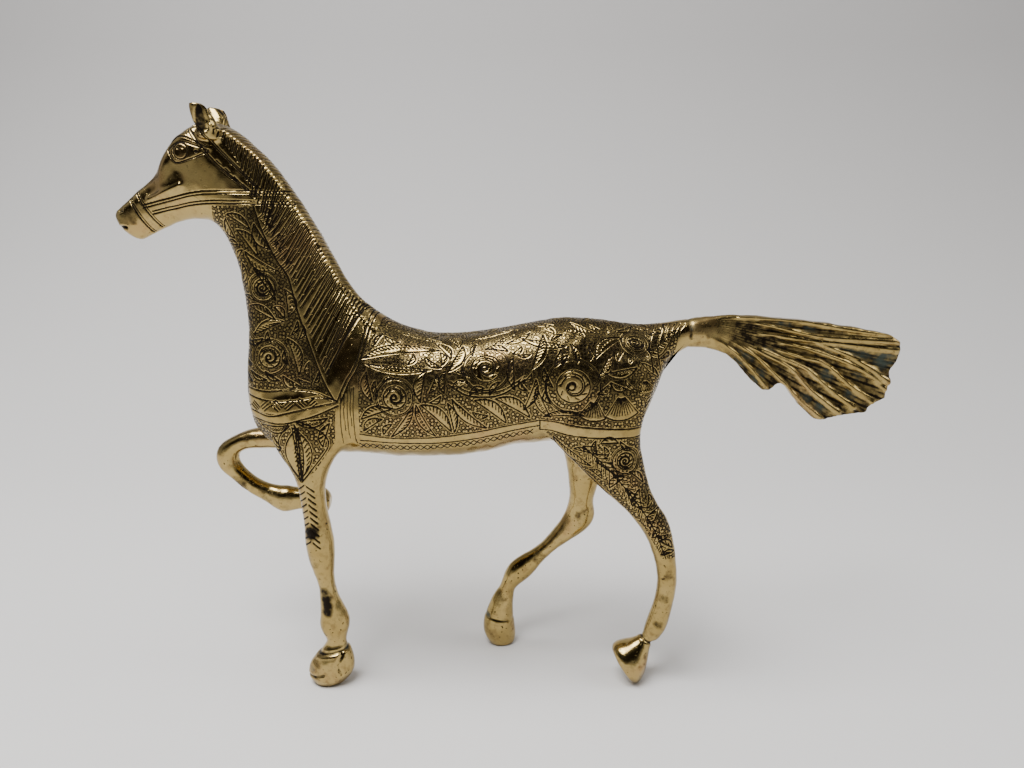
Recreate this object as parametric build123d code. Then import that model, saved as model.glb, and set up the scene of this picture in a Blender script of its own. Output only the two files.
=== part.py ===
from build123d import *

# Brass horse statuette: hollow body in two brazed halves, four solid legs, a pleated tail and their braze.
# Millimetres. The horse faces -X, its near (left) side is -Y and +Z is up. Every outline below is drawn
# in the X-Z plane; the finished model is then moved so that its origin is at the bottom centre of its box.

import math
import os
from typing import NamedTuple

# Driving dimensions
WALL = 3.6  # thickness of the hollow casting
BRAZE_GAP = 0.12  # braze between two faces, and round each tenon
SEAM_HALF = 0.1  # half the thickness of the braze on the midline
WETTING = 0.01  # the braze is drawn this much short of the faces that it wets
SECTION_POINTS = 12  # points on each cross-section's closed curve
FAR = 300.0  # larger than the statue, for cutting boxes

# Joint planes and tenons
FORE_JOINT_Z = 79.5  # near foreleg meets its shoulder
HIND_JOINT_Z = 86.0  # both hind legs meet their thighs
RAISED_JOINT_X = -90.5  # raised foreleg meets the chest
RAISED_JOINT_TOP = 90.8  # the raised forearm stays under this height
RAISED_CLEAR_Z = 78.0  # everything on the far side in front of the belly and under this is raised leg
BELLY_X = -50.0  # forelegs lie in front of this
GROIN_X = 8.0  # the thighs lie behind this
CROTCH_Z = 70.0  # under this the hind legs are clear of the body
TAIL_JOINT_X = 61.0  # tail meets the dock
TENON_LENGTH = 7.0
TENON_ROOT = 3.0  # how far a tenon is sunk in its own leg, where the two are one casting

# Each section: top or front point (x, z), bottom or back point (x, z), half width,
# taper (0 is an even oval, more narrows the top), squareness of the top, squareness of the bottom.
TRUNK = [
    ((61.0, 132.6), (61.0, 122.8), 4.2, 0.0, 2.0, 2.0),  # dock
    ((56.6, 132.2), (56.0, 119.2), 5.2, 0.0, 2.0, 2.0),
    ((51.4, 131.4), (50.8, 109.2), 8.2, 0.1, 2.0, 2.0),
    ((44.4, 131.0), (46.0, 97.6), 12.0, 0.1, 2.0, 2.0),
    ((31.0, 132.6), (31.0, 91.5), 15.8, 0.1, 2.0, 2.0),  # croup
    ((17.0, 133.2), (17.0, 89.2), 16.6, 0.05, 2.0, 2.0),
    ((3.0, 130.8), (3.0, 88.2), 16.6, 0.0, 2.1, 2.1),
    ((-11.0, 128.4), (-11.5, 85.0), 17.2, 0.0, 2.2, 2.2),  # barrel
    ((-25.0, 127.6), (-26.5, 83.8), 17.6, 0.0, 2.2, 2.2),
    ((-38.0, 130.6), (-42.0, 84.2), 17.6, 0.1, 2.2, 2.2),
    ((-46.6, 135.8), (-60.0, 85.4), 16.2, 0.25, 2.3, 2.2),  # withers to elbow
    ((-52.4, 140.8), (-79.6, 86.2), 14.4, 0.35, 2.6, 2.2),
    ((-56.4, 146.4), (-90.0, 93.7), 12.8, 0.38, 3.0, 2.2),  # breast
    ((-60.4, 153.8), (-92.4, 105.6), 11.6, 0.40, 3.4, 2.2),
    ((-64.7, 161.8), (-91.9, 117.6), 10.4, 0.42, 4.0, 2.1),
    ((-69.6, 170.6), (-90.8, 130.7), 9.2, 0.42, 4.0, 2.0),  # neck
    ((-74.6, 178.5), (-91.6, 144.4), 8.4, 0.40, 4.0, 2.0),
    ((-80.0, 185.5), (-94.0, 155.6), 7.8, 0.35, 4.0, 2.0),
    ((-86.2, 191.5), (-98.4, 163.9), 7.4, 0.30, 4.0, 2.0),
    ((-92.7, 196.1), (-102.4, 166.5), 7.5, 0.22, 4.0, 2.0),  # throat
    ((-100.8, 197.9), (-106.4, 166.6), 7.8, 0.12, 3.0, 2.0),  # poll
    ((-108.9, 193.9), (-110.6, 165.9), 7.8, 0.0, 2.4, 2.0),  # brow
    ((-113.7, 188.5), (-114.6, 164.7), 7.0, -0.1, 2.4, 2.0),
    ((-117.1, 182.3), (-118.4, 162.9), 5.6, -0.1, 2.4, 2.0),
    ((-121.5, 178.2), (-122.0, 161.1), 5.0, -0.05, 2.4, 2.0),
    ((-125.9, 174.8), (-125.4, 159.8), 4.6, 0.0, 2.4, 2.0),
    ((-129.8, 171.6), (-128.0, 160.9), 4.4, 0.0, 2.2, 2.0),
    ((-132.2, 169.6), (-129.9, 162.4), 3.5, 0.0, 2.0, 2.0),  # muzzle
    ((-133.2, 168.0), (-131.8, 164.9), 1.6, 0.0, 2.0, 2.0),
]
CAVITY_FIRST, CAVITY_LAST = 4, 17  # the hollow runs between these trunk sections

# Each leg section: front point, back point, middle's distance from the midline, half width.
NEAR_FORE = [
    ((-87.0, 108.0), (-53.0, 106.0), 8.5, 7.6),  # shoulder
    ((-85.2, 98.0), (-53.5, 97.0), 9.6, 7.4),
    ((-82.6, 91.0), (-56.8, 90.4), 10.6, 6.8),
    ((-79.4, 85.6), (-61.2, 85.8), 11.4, 6.0),
    ((-75.6, 79.5), (-64.2, 79.5), 12.0, 5.2),
    ((-73.8, 71.0), (-65.2, 71.0), 12.4, 4.6),  # forearm
    ((-73.1, 62.0), (-63.9, 62.0), 12.7, 4.7),
    ((-72.9, 53.0), (-62.9, 53.0), 12.8, 4.9),  # knee
    ((-71.5, 46.0), (-63.4, 46.0), 12.8, 4.2),
    ((-69.6, 40.0), (-63.4, 40.0), 12.8, 3.5),  # cannon
    ((-69.2, 33.0), (-61.9, 33.0), 12.8, 3.5),
    ((-69.4, 27.0), (-59.3, 27.0), 12.8, 4.1),  # fetlock
    ((-69.2, 21.0), (-59.3, 21.0), 12.9, 4.1),
    ((-67.5, 16.6), (-60.2, 16.0), 12.9, 3.2),  # pastern
    ((-70.2, 12.8), (-58.6, 12.6), 13.0, 4.8),
    ((-73.2, 9.4), (-58.0, 9.2), 13.1, 5.8),
    ((-74.5, 6.0), (-57.9, 6.2), 13.1, 6.1),
    ((-74.4, 3.0), (-58.9, 3.6), 13.1, 5.9),  # hoof
    ((-73.4, 0.8), (-60.8, 1.0), 13.1, 4.9),
    ((-72.6, 0.0), (-62.0, 0.0), 13.1, 4.2),  # sole
]
NEAR_HIND = [
    ((24.0, 120.0), (48.6, 121.0), 7.5, 6.0),  # thigh
    ((17.0, 110.0), (48.6, 111.0), 8.6, 8.0),
    ((12.0, 99.0), (46.6, 102.4), 9.4, 8.2),
    ((14.4, 91.6), (44.8, 94.6), 9.8, 7.9),
    ((21.0, 84.6), (45.0, 88.2), 10.2, 7.2),
    ((29.8, 76.0), (46.8, 80.0), 10.8, 6.2),
    ((37.2, 69.4), (49.4, 72.2), 11.2, 5.2),  # gaskin
    ((44.4, 61.4), (54.5, 63.8), 11.6, 4.6),
    ((49.2, 52.8), (57.4, 55.0), 11.8, 4.1),  # hock
    ((51.6, 44.0), (58.9, 45.2), 12.0, 3.6),
    ((51.9, 36.0), (58.9, 36.0), 12.0, 3.5),  # cannon
    ((50.3, 28.0), (57.5, 26.8), 12.0, 3.5),
    ((48.3, 21.4), (55.2, 19.2), 12.0, 3.4),  # fetlock
    ((47.9, 18.8), (52.6, 15.6), 12.0, 2.3),
]
NEAR_HIND_HOOF = [
    ((50.0, 20.6), (52.4, 18.4), 12.0, 1.4),  # inside the fetlock
    ((46.8, 17.8), (50.8, 13.6), 12.0, 3.0),
    ((42.4, 15.9), (49.8, 7.4), 12.0, 5.2),
    ((37.7, 14.0), (48.0, 1.0), 12.0, 7.2),  # flared rim
    ((36.9, 12.6), (46.8, -0.6), 12.0, 7.0),
    ((37.6, 10.2), (45.2, -0.2), 12.0, 5.2),  # domed sole
]
FAR_HIND = [
    ((24.0, 120.0), (48.6, 121.0), 7.5, 6.0),  # thigh
    ((16.0, 108.0), (48.0, 110.4), 8.6, 8.0),
    ((14.0, 97.0), (44.0, 99.6), 9.6, 7.9),
    ((17.0, 87.0), (39.0, 88.6), 10.4, 7.0),
    ((20.0, 78.0), (34.8, 78.6), 11.4, 5.8),
    ((21.7, 67.0), (32.4, 66.6), 12.2, 4.8),  # gaskin
    ((21.2, 58.0), (31.6, 57.0), 12.8, 4.5),
    ((18.0, 51.4), (30.0, 50.4), 13.0, 4.2),  # hock
    ((13.9, 45.8), (21.6, 43.6), 13.0, 3.6),
    ((6.2, 39.0), (10.9, 33.5), 13.0, 3.1),  # cannon
    ((-1.4, 32.9), (4.7, 26.7), 13.2, 3.7),  # fetlock
    ((-4.2, 26.2), (1.5, 23.6), 13.3, 3.2),
    ((-7.0, 21.0), (0.6, 18.6), 13.4, 3.4),  # pastern
    ((-9.8, 14.6), (0.5, 13.4), 13.4, 4.4),
    ((-11.4, 9.4), (1.0, 8.6), 13.4, 5.4),
    ((-11.4, 5.4), (1.4, 5.0), 13.4, 5.6),
    ((-10.2, 2.2), (1.2, 2.0), 13.4, 5.0),
    ((-8.8, 0.0), (0.6, 0.0), 13.4, 4.1),  # sole
]
RAISED_FORE = [
    ((-78.0, 95.0), (-76.0, 84.0), 11.0, 5.6),  # forearm's root, inside the shoulder
    ((-86.0, 91.8), (-84.4, 82.4), 11.6, 5.2),
    ((-93.4, 90.2), (-92.2, 82.0), 12.0, 4.6),
    ((-98.9, 88.8), (-97.6, 81.8), 12.0, 4.1),
    ((-105.1, 86.3), (-101.3, 80.8), 12.0, 3.9),
    ((-110.1, 82.4), (-102.9, 79.0), 12.0, 3.9),  # knee
    ((-111.4, 76.8), (-102.9, 76.6), 12.0, 3.8),
    ((-107.2, 70.8), (-100.4, 73.2), 12.0, 3.4),
    ((-100.5, 64.8), (-96.0, 69.5), 12.0, 3.2),  # cannon
    ((-92.9, 59.7), (-90.0, 67.2), 12.0, 3.3),
    ((-86.2, 56.4), (-84.4, 66.6), 12.0, 3.8),  # fetlock
    ((-81.2, 57.4), (-80.8, 66.0), 12.0, 3.3),
    ((-77.4, 57.0), (-77.0, 66.0), 12.0, 3.8),  # pastern
    ((-73.2, 55.0), (-73.0, 66.4), 12.0, 4.8),
    ((-70.4, 56.4), (-70.4, 64.8), 12.0, 4.0),  # hoof
    ((-69.3, 59.6), (-69.3, 61.8), 12.0, 1.6),
]

# Each ear is a leaf from the poll to its tip: front point, back point, distance from the midline, half width.
EAR = [
    ((-101.6, 192.5), (-93.6, 191.6), 5.2, 3.0),
    ((-102.0, 197.2), (-94.6, 197.0), 6.6, 2.8),
    ((-102.4, 200.8), (-96.2, 200.6), 7.6, 2.3),
    ((-102.3, 203.2), (-98.2, 202.8), 8.2, 1.5),
]

# Tail: a round dock that flattens into a fan of even thickness, with grooves between its pleats.
DOCK = [
    ((61.0, 132.6), (61.0, 122.8), 0.0, 4.2),
    ((66.0, 133.5), (66.0, 122.6), 0.0, 3.9),
    ((72.0, 134.1), (72.0, 121.4), 0.0, 3.5),
    ((80.0, 134.2), (78.4, 117.2), 0.0, 3.1),
    ((89.0, 133.6), (85.4, 109.8), 0.0, 2.6),
]
FAN_HALF = 2.4  # half the thickness of the fan
FAN_TOP = [(78.0, 133.8), (98.5, 132.6), (117.0, 130.2), (131.4, 127.4)]
FAN_TIP = [(134.8, 125.0), (135.9, 121.8), (134.7, 117.4), (132.4, 113.9)]
FAN_EDGE = [(133.2, 110.8), (131.8, 107.2), (132.1, 104.4), (126.7, 101.9), (125.8, 99.2), (116.4, 98.2)]
FAN_FOOT = [(111.4, 96.6), (107.6, 96.9), (101.8, 101.8), (96.2, 109.2)]
FAN_NOTCH = [(94.0, 110.2), (91.0, 107.4), (88.4, 107.4), (84.2, 111.8), (78.4, 118.0)]
PLEAT_ORIGIN = (68.0, 131.0)  # the pleats spread from here
PLEAT_ANGLES = [-4.0, -8.5, -13.5, -19.0, -24.5, -30.5, -36.5]  # grooves, degrees from +X towards -Z
GROOVE_START, GROOVE_END = 16.0, 78.0  # reach of the grooves from the pleats' origin
GROOVE_RADIUS = 1.1  # at the fan's edge
GROOVE_LIFT = 0.2  # a groove's axis lies this far outside the fan's face


def oval(front, back, middle_y, half_width, taper=0.0, front_power=2.0, back_power=2.0, inset=0.0):
    """One closed cross-section: a rounded oval whose long axis joins front and back in the X-Z plane."""
    dx, dz = (front[0] - back[0]) / 2, (front[1] - back[1]) / 2
    length = math.hypot(dx, dz)
    shrink = (length - inset) / length
    centre_x, centre_z = (front[0] + back[0]) / 2, (front[1] + back[1]) / 2
    points = []
    for k in range(SECTION_POINTS):
        angle = 2 * math.pi * k / SECTION_POINTS
        c, s = math.cos(angle), math.sin(angle)
        power = front_power if c >= 0 else back_power
        along = math.copysign(abs(c) ** (2 / power), c)
        across = math.copysign(abs(s) ** (2 / power), s) * (half_width - inset) * (1 - taper * along)
        points.append((centre_x + dx * shrink * along, middle_y + across, centre_z + dz * shrink * along))
    return Wire([Edge.make_spline([Vector(*p) for p in points], periodic=True)])


def skin(sections):
    """A smooth solid through a list of closed wires."""
    return Solid.make_loft(sections, ruled=False)


def block(x, y, z):
    """A box from three (low, high) pairs."""
    low = Vector(x[0], y[0], z[0])
    high = Vector(x[1], y[1], z[1])
    size = high - low
    return Pos((low + high) / 2) * Box(size.X, size.Y, size.Z)


def rod(radius, start, end):
    """A round bar between two points."""
    axis = Vector(*end) - Vector(*start)
    return Solid.make_cylinder(radius, axis.length, Plane(Vector(*start), z_dir=axis))


def trunk():
    """Dock, croup, barrel, neck and head as one skin."""
    return skin([oval(a, b, 0.0, w, taper, top, bottom) for a, b, w, taper, top, bottom in TRUNK])


def cavity():
    """The hollow inside the barrel and neck, one wall in from the trunk's skin."""
    chosen = TRUNK[CAVITY_FIRST : CAVITY_LAST + 1]
    return skin([oval(a, b, 0.0, w, taper, inset=WALL) for a, b, w, taper, _, _ in chosen])


def limb(sections, side):
    """A leg, hoof or ear. side is -1 for the near side and 1 for the far side."""
    return skin([oval(a, b, side * y, w) for a, b, y, w in sections])


def fan():
    """The pleated plate at the end of the tail."""
    top = Edge.make_spline([Vector(x, 0, z) for x, z in FAN_TOP])
    rim = FAN_TOP[-1:] + FAN_TIP + FAN_EDGE + FAN_FOOT + FAN_NOTCH + FAN_TOP[:1]
    edge = Wire.make_polygon([Vector(x, 0, z) for x, z in rim], close=False)
    plate = Face(Wire([top] + list(edge.edges())))
    solid = extrude(plate, FAN_HALF, both=True)
    for angle in PLEAT_ANGLES:
        direction = Vector(math.cos(math.radians(angle)), 0, math.sin(math.radians(angle)))
        for side in (-1, 1):
            origin = Vector(PLEAT_ORIGIN[0], side * (FAN_HALF + GROOVE_LIFT), PLEAT_ORIGIN[1])
            plane = Plane(origin + direction * GROOVE_START, z_dir=direction)
            length = GROOVE_END - GROOVE_START
            solid = solid - Solid.make_cone(0.0, GROOVE_RADIUS, length, plane)
    return solid


def whole_body():
    """Trunk, ears and the legs with their hooves as one solid, before it is cut at the joints."""
    limbs = [(EAR, -1), (EAR, 1), (NEAR_FORE, -1), (RAISED_FORE, 1), (NEAR_HIND, -1), (FAR_HIND, 1)]
    limbs = limbs + [(NEAR_HIND_HOOF, -1)]
    body = trunk()
    for sections, side in limbs:
        body = body + limb(sections, side)
    return body & block((-FAR, FAR), (-FAR, FAR), (0.0, FAR))


class Joint(NamedTuple):
    """Where a leg or the tail meets the body."""

    foot: tuple  # centre of the tenon on the joint plane
    inward: tuple  # unit vector into the body
    radius: float  # of the tenon


JOINTS = {
    "near_fore": Joint((-69.6, -11.8, FORE_JOINT_Z), (0, 0, 1), 2.8),
    "far_fore": Joint((RAISED_JOINT_X, 11.8, 86.0), (1, 0, 0), 2.3),
    "near_hind": Joint((33.0, -10.0, HIND_JOINT_Z), (0, 0, 1), 4.0),
    "far_hind": Joint((29.0, 10.4, HIND_JOINT_Z), (0, 0, 1), 4.0),
    "tail": Joint((TAIL_JOINT_X, 0.0, 127.7), (-1, 0, 0), 2.2),
}


def region(name, gap):
    """The space that a leg or the tail owns, short of its joint plane by gap."""
    side = (-FAR, 0) if name.startswith("near") else (0, FAR)
    if name == "tail":
        return block((TAIL_JOINT_X + gap, FAR), (-FAR, FAR), (-FAR, FAR))
    if name == "near_fore":
        return block((-FAR, BELLY_X), side, (-FAR, FORE_JOINT_Z - gap))
    if name == "far_fore":
        forearm = block((-FAR, RAISED_JOINT_X - gap), side, (-FAR, RAISED_JOINT_TOP))
        return forearm + block((-FAR, BELLY_X), side, (-FAR, RAISED_CLEAR_Z))
    thigh = block((GROIN_X, FAR), side, (-FAR, HIND_JOINT_Z - gap))
    return thigh + block((BELLY_X, FAR), side, (-FAR, CROTCH_Z))


def tenon(joint, extra=0.0, start=0.0, reach=TENON_LENGTH):
    """A round peg along the joint's axis, from start to reach past the joint plane."""
    foot, inward = Vector(*joint.foot), Vector(*joint.inward)
    return rod(joint.radius + extra, foot + inward * start, foot + inward * reach)


def braze(source, name, joint):
    """Filler between the two joint faces and round the tenon, just clear of both castings."""
    face = (source & region(name, WETTING)) - region(name, BRAZE_GAP - WETTING)
    face = Compound(face.solids()) if len(face.solids()) > 1 else face
    sleeve = tenon(joint, BRAZE_GAP - WETTING, -BRAZE_GAP + WETTING, TENON_LENGTH + BRAZE_GAP - WETTING)
    return face + sleeve - tenon(joint, WETTING, -BRAZE_GAP, TENON_LENGTH + WETTING)


def make_pieces():
    """Every casting and every bead of braze, by node name."""
    body = whole_body()
    tail = skin([oval(a, b, y, w) for a, b, y, w in DOCK]) + fan()
    pieces = {}
    for name, joint in JOINTS.items():
        source = tail if name == "tail" else body
        piece = name if name == "tail" else name + "_leg"
        pieces[piece] = (source & region(name, BRAZE_GAP)) + tenon(joint, start=-BRAZE_GAP - TENON_ROOT)
        pieces[name + "_braze"] = braze(source, name, joint)
    for name, joint in JOINTS.items():
        if name != "tail":
            body = body - region(name, 0.0)
        body = body - tenon(joint, BRAZE_GAP, 0.0, TENON_LENGTH + BRAZE_GAP)
    body = body - cavity()
    filler = SEAM_HALF - WETTING
    pieces["body_near_half"] = body & block((-FAR, FAR), (-FAR, -SEAM_HALF), (-FAR, FAR))
    pieces["body_far_half"] = body & block((-FAR, FAR), (SEAM_HALF, FAR), (-FAR, FAR))
    pieces["midline_braze"] = body & block((-FAR, FAR), (-filler, filler), (-FAR, FAR))
    return pieces


pieces = make_pieces()
boxes = [piece.bounding_box() for piece in pieces.values()]
low_x = min(box.min.X for box in boxes)
high_x = max(box.max.X for box in boxes)
low_y = min(box.min.Y for box in boxes)
high_y = max(box.max.Y for box in boxes)
to_origin = Pos(-(low_x + high_x) / 2, -(low_y + high_y) / 2, 0)
os.makedirs("parts", exist_ok=True)
for name, piece in pieces.items():
    export_step(to_origin * piece, f"parts/{name}.step")
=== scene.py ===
import math

import bpy
import bmesh
import numpy as np
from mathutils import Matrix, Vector


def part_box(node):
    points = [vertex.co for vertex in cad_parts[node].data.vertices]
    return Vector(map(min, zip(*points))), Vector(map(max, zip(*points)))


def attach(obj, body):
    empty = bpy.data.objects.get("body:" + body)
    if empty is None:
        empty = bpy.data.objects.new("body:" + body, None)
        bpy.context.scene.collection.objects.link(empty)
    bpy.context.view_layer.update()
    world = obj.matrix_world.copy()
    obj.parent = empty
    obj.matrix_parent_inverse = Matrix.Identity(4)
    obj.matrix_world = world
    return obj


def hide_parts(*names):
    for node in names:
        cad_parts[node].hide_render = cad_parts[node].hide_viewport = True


# Brass horse statuette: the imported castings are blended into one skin, carved and engraved, then cut at
# the joints into seven pieces. Lengths named _MM and all outlines are in millimetres, in the axes that the
# horse is drawn in. SHIFT carries them to the frame. The horse faces -X, and -Y is its near side.

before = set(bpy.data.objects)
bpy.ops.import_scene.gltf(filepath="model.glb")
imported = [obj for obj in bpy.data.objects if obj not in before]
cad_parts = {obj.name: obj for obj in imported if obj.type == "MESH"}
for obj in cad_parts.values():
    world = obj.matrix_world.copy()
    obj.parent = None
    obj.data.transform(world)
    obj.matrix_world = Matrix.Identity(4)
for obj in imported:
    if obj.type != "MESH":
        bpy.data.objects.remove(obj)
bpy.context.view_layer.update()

TAIL_PEG_TIP_MM = 54.0  # where the tail's hidden peg starts, in the drawing axes
VOXEL_MM = 0.5

tail_low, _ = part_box("tail")
seam_low, seam_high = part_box("midline_braze")
SHIFT = np.array([tail_low.x * 1000 - TAIL_PEG_TIP_MM, (seam_low.y + seam_high.y) * 500, 0.0])

CAD_NODES = sorted(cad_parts)
rng = np.random.default_rng(7)


# ---------------------------------------------------------------- mesh helpers


def to_drawing(points_m):
    return points_m * 1000.0 - SHIFT


def to_frame(points_mm):
    return (points_mm + SHIFT) / 1000.0


def smoothstep(low, high, value):
    t = np.clip((value - low) / (high - low), 0.0, 1.0)
    return t * t * (3 - 2 * t)


def bell(distance, width):
    return np.exp(-((distance / width) ** 2))


def new_object(name, mesh):
    obj = bpy.data.objects.new(name, mesh)
    bpy.context.scene.collection.objects.link(obj)
    return obj


def apply_modifier(obj, kind, **settings):
    modifier = obj.modifiers.new(kind.lower(), kind)
    for key, value in settings.items():
        setattr(modifier, key, value)
    depsgraph = bpy.context.evaluated_depsgraph_get()
    mesh = bpy.data.meshes.new_from_object(obj.evaluated_get(depsgraph))
    obj.modifiers.clear()
    old = obj.data
    obj.data = mesh
    bpy.data.meshes.remove(old)


def joined_castings():
    """One object holding a copy of every CAD node's mesh."""
    whole = bmesh.new()
    for name in CAD_NODES:
        whole.from_mesh(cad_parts[name].data)
    mesh = bpy.data.meshes.new("castings")
    whole.to_mesh(mesh)
    whole.free()
    return new_object("castings", mesh)


def outer_component(vertices, faces):
    """Keeps only the connected skin with the largest box, so the hollow's inner wall goes."""
    parent = np.arange(len(vertices))
    edges = np.concatenate([faces[:, [0, 1]], faces[:, [1, 2]], faces[:, [2, 3]]])
    while True:
        a, b = parent[edges[:, 0]], parent[edges[:, 1]]
        low = np.minimum(a, b)
        before = parent.copy()
        np.minimum.at(parent, a, low)
        np.minimum.at(parent, b, low)
        parent = parent[parent]
        if np.array_equal(parent, before):
            break
    best, kept = 0.0, None
    for root in np.unique(parent):
        members = vertices[parent == root]
        span = np.prod(members.max(0) - members.min(0) + 1e-9)
        if span > best:
            best, kept = span, root
    keep = parent == kept
    new_index = np.cumsum(keep) - 1
    return vertices[keep], new_index[faces[keep[faces[:, 0]]]]


def mesh_arrays(mesh):
    vertices = np.empty(len(mesh.vertices) * 3, np.float32)
    mesh.vertices.foreach_get("co", vertices)
    loops = np.empty(len(mesh.loops), np.int32)
    mesh.loops.foreach_get("vertex_index", loops)
    return vertices.reshape(-1, 3).astype(float), loops


def vertex_normals(vertices, faces):
    """Area-weighted normals of a quad mesh."""
    a, b, c, d = (vertices[faces[:, k]] for k in range(4))
    face_normal = np.cross(c - a, d - b)
    normals = np.zeros_like(vertices)
    for k in range(4):
        for axis in range(3):
            normals[:, axis] += np.bincount(faces[:, k], face_normal[:, axis], len(vertices))
    return normals / np.maximum(np.linalg.norm(normals, axis=1, keepdims=True), 1e-12)


def relax(vertices, faces, weight, rounds):
    """Moves each vertex towards its neighbours' mean by its own weight."""
    edges = np.concatenate([faces[:, [0, 1]], faces[:, [1, 2]], faces[:, [2, 3]], faces[:, [3, 0]]])
    count = len(vertices)
    degree = np.bincount(edges[:, 0], minlength=count) + np.bincount(edges[:, 1], minlength=count)
    for _ in range(rounds):
        mean = np.empty_like(vertices)
        for axis in range(3):
            column = vertices[:, axis]
            total = np.bincount(edges[:, 0], column[edges[:, 1]], count)
            total += np.bincount(edges[:, 1], column[edges[:, 0]], count)
            mean[:, axis] = total / degree
        vertices = vertices + (mean - vertices) * weight[:, None]
    return vertices


def quad_mesh(name, points_mm, quads):
    mesh = bpy.data.meshes.new(name)
    mesh.vertices.add(len(points_mm))
    mesh.vertices.foreach_set("co", to_frame(points_mm).astype(np.float32).ravel())
    mesh.loops.add(len(quads) * 4)
    mesh.loops.foreach_set("vertex_index", quads.astype(np.int32).ravel())
    mesh.polygons.add(len(quads))
    mesh.polygons.foreach_set("loop_start", np.arange(0, len(quads) * 4, 4, dtype=np.int32))
    mesh.update(calc_edges=True)
    mesh.polygons.foreach_set("use_smooth", np.ones(len(quads), bool))
    return mesh


def path_distance(x, z, path, spacing=0.25):
    """Distance of each point from a smooth line in the x-z plane, and how far along the line it lies."""
    line = smooth_line(path, spacing)
    run = np.concatenate([[0.0], np.cumsum(np.hypot(*np.diff(line, axis=0).T))])
    distance = np.full(len(x), 1e9)
    nearest = np.zeros(len(x), int)
    box = (line.min(0) - 12.0, line.max(0) + 12.0)
    near = np.flatnonzero((x > box[0][0]) & (x < box[1][0]) & (z > box[0][1]) & (z < box[1][1]))
    for part in np.array_split(near, max(1, len(near) // 20000)):
        gap = np.hypot(x[part, None] - line[None, :, 0], z[part, None] - line[None, :, 1])
        nearest[part] = gap.argmin(1)
        distance[part] = gap.min(1)
    return distance, run[nearest]


def smooth_line(points, spacing):
    """Points along a smooth line through the given ones."""
    p = np.array(points, float)
    if len(p) == 2:
        steps = max(2, int(np.linalg.norm(p[1] - p[0]) / spacing))
        return p[0] + (p[1] - p[0]) * np.linspace(0, 1, steps)[:, None]
    p = np.vstack([2 * p[0] - p[1], p, 2 * p[-1] - p[-2]])
    out = []
    for a, b, c, d in zip(p[:-3], p[1:-2], p[2:-1], p[3:]):
        t = np.linspace(0, 1, max(2, int(np.linalg.norm(c - b) / spacing)))[:, None]
        square, cube = 2 * a - 5 * b + 4 * c - d, 3 * b - a - 3 * c + d
        out.append(0.5 * (2 * b + (c - a) * t + square * t**2 + cube * t**3))
    return np.vstack(out)


# ---------------------------------------------------------------- engraving plate
# The pattern is drawn once, on a flat plate of the horse's side, and both flanks take it. Its axes are x
# and v in millimetres: v is height, but over the top of the barrel it is unrolled so that circles stay round.

CELL_MM = 0.1
PLATE_X = (-138.0, 68.0)
PLATE_V = (40.0, 208.0)
COLUMNS = int((PLATE_X[1] - PLATE_X[0]) / CELL_MM)
ROWS = int((PLATE_V[1] - PLATE_V[0]) / CELL_MM)
plate = np.zeros((ROWS, COLUMNS), np.float32)
plain = np.zeros((ROWS, COLUMNS), bool)
ground = np.zeros((ROWS, COLUMNS), bool)
strokes = {}

BARREL_MID_MM = 108.0  # height of the barrel's middle
BARREL_HALF_MM = 22.5
BARREL_WIDE_MM = 17.0


def barrel_share(x):
    """1 along the barrel, fading to 0 at the neck and the dock."""
    return smoothstep(-60.0, -48.0, x) * (1 - smoothstep(46.0, 56.0, x))


def unroll_point(x, z):
    """Where a point seen on the flank at height z lies on the plate."""
    if z <= BARREL_MID_MM:
        return x, z
    lift = min((z - BARREL_MID_MM) / BARREL_HALF_MM, 1.0)
    rolled = BARREL_MID_MM + BARREL_HALF_MM * math.asin(lift)
    return x, z + float(barrel_share(np.float64(x))) * (rolled - z)


def plate_coordinates(points):
    """Where points of the skin lie on the plate."""
    x, y, z = points.T
    up = (z - BARREL_MID_MM) / BARREL_HALF_MM
    rolled = BARREL_MID_MM + BARREL_HALF_MM * np.arctan2(up, np.abs(y) / BARREL_WIDE_MM)
    share = barrel_share(x) * (z > BARREL_MID_MM)
    return x, z + share * (rolled - z)


def curve(points, spacing=0.06):
    """A smooth line on the plate through points given as seen from the side."""
    return smooth_line([unroll_point(*q) for q in points], spacing)


def cut(points, half=0.24, depth=1.0, raw=False):
    """Collects a stroke for stamp(); raw points lie on the plate already."""
    line = np.asarray(points, float) if raw else curve(points)
    strokes.setdefault(half, []).append(np.column_stack([line, np.full(len(line), depth)]))


def around(cx, cv, radius, angle):
    """Points on the plate at the given radii and angles from a centre."""
    return np.column_stack([cx + radius * np.cos(angle), cv + radius * np.sin(angle)])


def cut_circle(centre, radius, half=0.2, depth=1.0):
    angle = np.linspace(0, 2 * math.pi, max(10, int(radius * 2 * math.pi / 0.08)))
    cut(around(*centre, radius, angle), half, depth, True)


def plate_cells(points):
    """The rows and columns of the plate that lie under some points."""
    column = ((points[:, 0] - PLATE_X[0]) / CELL_MM).astype(int)
    row = ((points[:, 1] - PLATE_V[0]) / CELL_MM).astype(int)
    return row, column


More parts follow.
